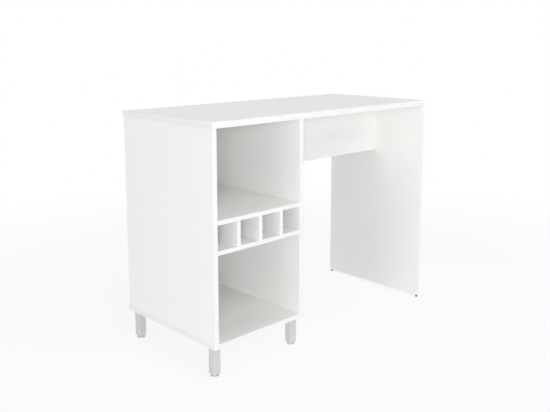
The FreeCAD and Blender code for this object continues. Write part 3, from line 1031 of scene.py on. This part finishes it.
@dataclass
class Cabinet(SubAssembly):
    """The open cabinet: uprights, base, shelves, small dividers and thin back."""

    boards: tuple[str, ...] = (
        "left_side_panel", "divider_panel", "base_panel", "lower_shelf", "upper_shelf",
        "cubby_divider_1", "cubby_divider_2", "cubby_divider_3",
    )
    edging: tuple[str, ...] = (
        "left_side_edging", "divider_edging", "base_edging", "lower_shelf_edging", "upper_shelf_edging",
        "cubby_divider_edging",
    )
    back: str = "cabinet_back_panel"
    nails: str = "back_panel_nails"
    nail_head_radius: float = 2.0 * MILLIMETRE
    nail_head_height: float = 0.6 * MILLIMETRE
    nail_dome: Shares = ((1.0, 0.0), (1.0, 0.3), (0.82, 0.68), (0.5, 0.93), (0.0, 1.0))
    nail_shank_radius: float = 0.7 * MILLIMETRE
    nail_point: float = 2.0 * MILLIMETRE
    nail_sides: int = 24

    def build(self) -> None:
        """Dresses the cabinet and makes its nails."""
        self.palette.face_boards(self.boards)
        self.palette.dress("white_edging", self.edging)
        back = self.palette.hardboard.material("hardboard", Slab.of_node(self.back))
        put_on(frame["nodes"][self.back], back)
        self.make_nails()

    def make_nails(self) -> None:
        """Makes the back board's nails, with domed heads and drawn points."""
        solids = solids_of(self.nails)
        head, rim, shank = self.nail_head_radius, self.nail_head_height, self.nail_shank_radius
        length = solids[0].size.y - rim
        profile = [
            (0.0, -length), (shank, self.nail_point - length), (shank, 0.0),
            *[(head * out, rim * up) for out, up in self.nail_dome],
        ]
        under_heads = [Vector((box.centre.x, box.high.y - rim, box.centre.z)) for box in solids]
        seats = [(place, Axis.Y.unit()) for place in under_heads]
        name, sides = "back_panel_nails_domed", self.nail_sides
        nails = self.turner.turn(name, profile, seats, "zinc_steel", sides)
        self.turner.settle(nails, "counter", "zinc_steel", self.nails)


@dataclass
class KneeSide(SubAssembly):
    """The apron and the right leg board on its glides."""

    boards: tuple[str, ...] = ("apron_panel", "leg_panel")
    edging: tuple[str, ...] = ("apron_edging", "leg_panel_edging")

    def build(self) -> None:
        """Dresses the knee side."""
        self.palette.face_boards(self.boards)
        self.palette.dress("white_edging", self.edging)
        self.palette.dress("black_plastic", ("panel_glides",))
        self.palette.dress("zinc_steel", ("glide_nails",))


@dataclass
class Fittings(SubAssembly):
    """Cams, bolts, dowels and cover caps at the board joints."""

    cap_rim: float = 0.9 * MILLIMETRE
    cap_dish: float = 0.25 * MILLIMETRE
    cap_dish_slope: float = 0.5 * MILLIMETRE
    cap_round: float = 0.5 * MILLIMETRE
    dowel_chamfer: float = 0.8 * MILLIMETRE
    flutes: int = 12
    flute_depth: float = 0.35 * MILLIMETRE
    flute_sides: int = 6
    carriers: tuple[str, ...] = (
        "left_side_panel", "divider_panel", "leg_panel", "apron_panel", "lower_shelf", "upper_shelf",
    )

    def build(self) -> None:
        """Dresses the fittings that stay and makes the caps and dowels."""
        self.palette.dress("zinc_alloy", ("panel_cams", "shelf_cams"))
        self.palette.dress("zinc_steel", ("connecting_bolts",))
        self.make_caps()
        for node in ("panel_dowels", "cubby_dowels"):
            self.make_dowels(node)

    def facing_of(self, cap: Box) -> Vector:
        """The way a cap faces: from the middle of the board that carries it to the cap.

        Args:
            cap: The cap's box.

        Returns:
            A unit vector.
        """
        axis = cap.thin_axis()
        slabs = [slab for slab in map(Slab.of_node, self.carriers) if slab.axis is axis]
        offsets = [cap.centre[axis.value] - slab.middle for slab in slabs]
        return axis.unit() * math.copysign(1.0, min(offsets, key=abs))

    def make_caps(self) -> None:
        """Makes the cams' cover caps, dished inside a raised rim."""
        solids = solids_of("cam_caps")
        seats = []
        for cap in solids:
            facing = self.facing_of(cap)
            seats.append((cap.centre - facing * min(cap.size) / 2, facing))
        radius, height = max(solids[-1].size) / 2, min(solids[-1].size)
        inner, sunk = radius - self.cap_round - self.cap_rim, height - self.cap_dish
        profile = [
            (0.0, 0.0), (radius, 0.0), *round_corner(radius, height, self.cap_round, (-1, -1)),
            (inner, height), (inner - self.cap_dish_slope, sunk), (0.0, sunk),
        ]
        caps = self.turner.turn("cam_caps_dished", profile, seats, "white_plastic")
        self.turner.settle(caps, "counter", "white_plastic", "cam_caps")

    def make_dowels(self, node: str) -> None:
        """Makes the fluted dowels that stand for one node.

        Args:
            node: The dowels' node.
        """
        solids = solids_of(node)
        seats = []
        for dowel in solids:
            way = dowel.long_axis().unit()
            seats.append((dowel.centre - way * max(dowel.size) / 2, way))
        radius, length, cut = min(solids[0].size) / 2, max(solids[0].size), self.dowel_chamfer
        profile = [
            (0.0, 0.0), (radius - cut, 0.0), (radius, cut),
            (radius, length - cut), (radius - cut, length), (0.0, length),
        ]
        around = self.flutes * self.flute_sides
        ribs = Ribs(self.flutes, self.flute_depth, radius - cut / 2)
        dowels = self.turner.turn(f"{node}_fluted", profile, seats, "beech", around, ribs)
        self.turner.settle(dowels, "counter", "beech", node)


@dataclass
class Legs(SubAssembly):
    """The tube legs and their levelling feet."""

    knob_ribs: int = 24
    knob_rib_depth: float = 0.9 * MILLIMETRE
    knob_rib_sides: int = 8
    knob_chamfer: float = 0.6 * MILLIMETRE
    bore_fit: float = 0.05 * MILLIMETRE
    pad_groove: float = 0.5 * MILLIMETRE
    pad_groove_form: Shares = ((0.0, 2.0), (0.5, 1.5), (2.0, 1.0), (2.0, 0.0))
    pad_round: float = 1.6 * MILLIMETRE
    thread_pitch: float = 1.25 * MILLIMETRE
    thread_depth: float = 0.65 * MILLIMETRE
    thread_sides: int = 32

    def build(self) -> None:
        """Dresses the legs and makes the feet."""
        self.palette.dress("satin_steel", [f"leg_tube_{corner}" for corner in CORNERS])
        self.palette.dress("zinc_steel", ("leg_top_plates", "leg_bolts", "leg_insert_nuts"))
        self.palette.dress("grey_plastic", ("leg_plugs",))
        for corner in CORNERS:
            self.make_stem(corner)
            self.make_knob(corner)
            self.make_pad(corner)

    @staticmethod
    def foot_seat(node: str) -> tuple[Box, list[Seat]]:
        """A foot piece's box, and its one seat at the middle of its underside."""
        box = solids_of(node)[0]
        return box, [(Vector((box.centre.x, box.centre.y, box.low.z)), Axis.Z.unit())]

    def make_stem(self, corner: str) -> None:
        """Makes a foot's threaded stem.

        Args:
            corner: Which foot.
        """
        box, seats = self.foot_seat(f"foot_stem_{corner}")
        values = {
            "Radius": box.size.x / 2,
            "Length": box.size.z,
            "Pitch": self.thread_pitch,
            "Depth": self.thread_depth,
            "Around": self.thread_sides,
            "Finish": self.palette.materials["zinc_steel"],
        }
        stem = self.turner.threaded.make(f"foot_stem_threaded_{corner}", seats, values)
        self.turner.settle(stem, f"foot_{corner}", "zinc_steel", f"foot_stem_{corner}")

    def make_knob(self, corner: str) -> None:
        """Makes a foot's ribbed grip ring.

        Args:
            corner: Which foot.
        """
        box, seats = self.foot_seat(f"foot_knob_{corner}")
        stem, _ = self.foot_seat(f"foot_stem_{corner}")
        bore = stem.size.x / 2 + self.bore_fit
        radius, height, cut = box.size.x / 2, box.size.z, self.knob_chamfer
        profile = [
            (bore, 0.0), (radius - cut, 0.0), (radius, cut), (radius, height / 2), (radius, height - cut),
            (radius - cut, height), (bore, height), (bore, 0.0),
        ]
        name, around = f"foot_knob_ribbed_{corner}", self.knob_ribs * self.knob_rib_sides
        ribs = Ribs(self.knob_ribs, self.knob_rib_depth, radius - cut / 2)
        knob = self.turner.turn(name, profile, seats, "satin_nickel", around, ribs)
        self.turner.settle(knob, f"foot_{corner}", "satin_nickel", f"foot_knob_{corner}")

    def make_pad(self, corner: str) -> None:
        """Makes a foot's pad, with a groove under the grip ring.

        Args:
            corner: Which foot.
        """
        box, seats = self.foot_seat(f"foot_pad_{corner}")
        radius, height, groove = box.size.x / 2, box.size.z, self.pad_groove
        profile = [
            (0.0, 0.0), *round_corner(radius, 0.0, self.pad_round, (-1, 1)),
            *[(radius - groove * inward, height - groove * down) for inward, down in self.pad_groove_form],
            (0.0, height),
        ]
        pad = self.turner.turn(f"foot_pad_moulded_{corner}", profile, seats, "grey_plastic")
        self.turner.settle(pad, f"foot_{corner}", "grey_plastic", f"foot_pad_{corner}")


# Camera, light and floor


@dataclass
class PhotoCamera:
    """The camera at the photograph's viewing angle."""

    image_width: float = 550.0
    sensor: float = 36.0
    focal_pixels: float = 705.9058
    shift_pixels: float = 57.0
    turn_degrees: float = 44.2138
    tilt_degrees: float = 8.8416
    position: Triple = (-2.0288, -2.0242, 1.1646)

    def build(self) -> None:
        """Makes the scene's camera."""
        lens = bpy.data.cameras.new("photo_camera")
        lens.sensor_width = self.sensor
        lens.lens = self.focal_pixels / self.image_width * self.sensor
        lens.shift_y = -self.shift_pixels / self.image_width
        camera = bpy.data.objects.new("photo_camera", lens)
        camera.location = self.position
        tilt, turn = math.radians(90.0 - self.tilt_degrees), math.radians(-self.turn_degrees)
        camera.rotation_euler = Euler((tilt, 0.0, turn))
        bpy.context.scene.collection.objects.link(camera)
        bpy.context.scene.camera = camera


@dataclass(frozen=True)
class Softbox:
    """A large soft lamp that looks at the object's middle."""

    name: str
    position: Triple
    width: float
    height: float
    watts: float
    target: Triple = (0.0, 0.0, 0.5)

    def build(self) -> None:
        """Makes the lamp."""
        light = bpy.data.lights.new(self.name, "AREA")
        light.shape = "RECTANGLE"
        light.size = self.width
        light.size_y = self.height
        light.energy = self.watts
        lamp = bpy.data.objects.new(self.name, light)
        lamp.location = self.position
        way = Vector(self.target) - Vector(self.position)
        lamp.rotation_euler = way.to_track_quat("-Z", "Y").to_euler()
        bpy.context.scene.collection.objects.link(lamp)


@dataclass
class Studio:
    """A pale floor, even white surroundings and softboxes all round."""

    sky_level: float = 0.03
    floor_reach: float = 40.0
    floor_colour: Colour = (0.90, 0.90, 0.90)
    shadow_share: float = 0.13
    shadow_from: float = 1.2
    shadow_to: float = 3.0
    lamps: tuple[Softbox, ...] = (
        Softbox("key_softbox", (-5.5, -7.05, 1.45), 3.6, 3.0, 402.0),
        Softbox("high_softbox", (-1.1, -6.3, 6.9), 6.4, 5.1, 300.0),
        Softbox("left_softbox", (-8.9, -0.8, 1.75), 5.0, 3.0, 192.0),
        Softbox("right_softbox", (8.7, -2.0, 1.9), 5.0, 3.0, 235.0),
        Softbox("rear_softbox", (0.8, 8.9, 1.9), 5.0, 3.0, 300.0),
        Softbox("top_softbox", (0.0, -0.3, 6.4), 4.3, 3.4, 117.0),
    )

    def build(self) -> None:
        """Makes the surroundings."""
        bpy.context.scene.view_settings.view_transform = "Standard"
        self.make_world()
        self.make_floor()
        for lamp in self.lamps:
            lamp.build()

    @staticmethod
    def seen(graph: Graph) -> Signal:
        """1 for camera, glossy and transmission rays, which see plain white, else 0."""
        rays = graph.node("ShaderNodeLightPath").outputs
        share = graph.signal(rays["Is Camera Ray"])
        for name in ("Is Glossy Ray", "Is Transmission Ray"):
            share = share.math("MAXIMUM", graph.signal(rays[name]))
        return share

    def make_world(self) -> None:
        """Makes the surroundings: white to look at, and a plain level of light."""
        world = bpy.data.worlds.new("studio_white")
        world.use_nodes = True
        graph = Graph(world.node_tree)
        strength = self.sky_level + self.seen(graph) * (1.0 - self.sky_level)
        inputs = {"Color": PURE_WHITE, "Strength": strength}
        sky = graph.node("ShaderNodeBackground", inputs=inputs)
        graph.node("ShaderNodeOutputWorld", inputs={"Surface": sky.outputs[0]})
        bpy.context.scene.world = world

    def make_floor(self) -> None:
        """Makes the floor: white to look at, with a pale shadow near the object."""
        reach = self.floor_reach
        corners = [(-reach, -reach, 0.0), (reach, -reach, 0.0), (reach, reach, 0.0), (-reach, reach, 0.0)]
        mesh = bpy.data.meshes.new("studio_floor")
        mesh.from_pydata(corners, [], [(0, 1, 2, 3)])
        floor = bpy.data.objects.new("studio_floor", mesh)
        bpy.context.scene.collection.objects.link(floor)
        mesh.materials.append(self.floor_material())

    def floor_material(self) -> bpy.types.Material:
        """Mixes plain white with a matt floor whose shadow fades with distance."""
        surface = Surface("studio_floor")
        spread = surface.node("ShaderNodeVectorMath", {"operation": "LENGTH"}, {0: surface.place})
        distance = surface.signal(spread.outputs["Value"])
        near = 1.0 - distance.smooth(self.shadow_from, self.shadow_to)
        glow = self.seen(surface) * (1.0 - near * self.shadow_share)
        matt = surface.node("ShaderNodeBsdfDiffuse", inputs={"Color": (*self.floor_colour, 1.0)})
        white = surface.node("ShaderNodeEmission", inputs={"Color": PURE_WHITE, "Strength": 1.0})
        inputs = {0: glow, 1: matt.outputs[0], 2: white.outputs[0]}
        mixed = surface.node("ShaderNodeMixShader", inputs=inputs)
        surface.node("ShaderNodeOutputMaterial", inputs={"Surface": mixed.outputs[0]})
        return surface.material


def main() -> None:
    """Builds the studio and the sub-assemblies in order."""
    logging.basicConfig(level=logging.INFO, format="%(name)s: %(message)s")
    PhotoCamera().build()
    Studio().build()
    turner = Turner(Palette())
    for assembly in (Worktop, Cabinet, KneeSide, Fittings, Legs):
        assembly(turner).build()


if __name__ == "__main__":
    main()
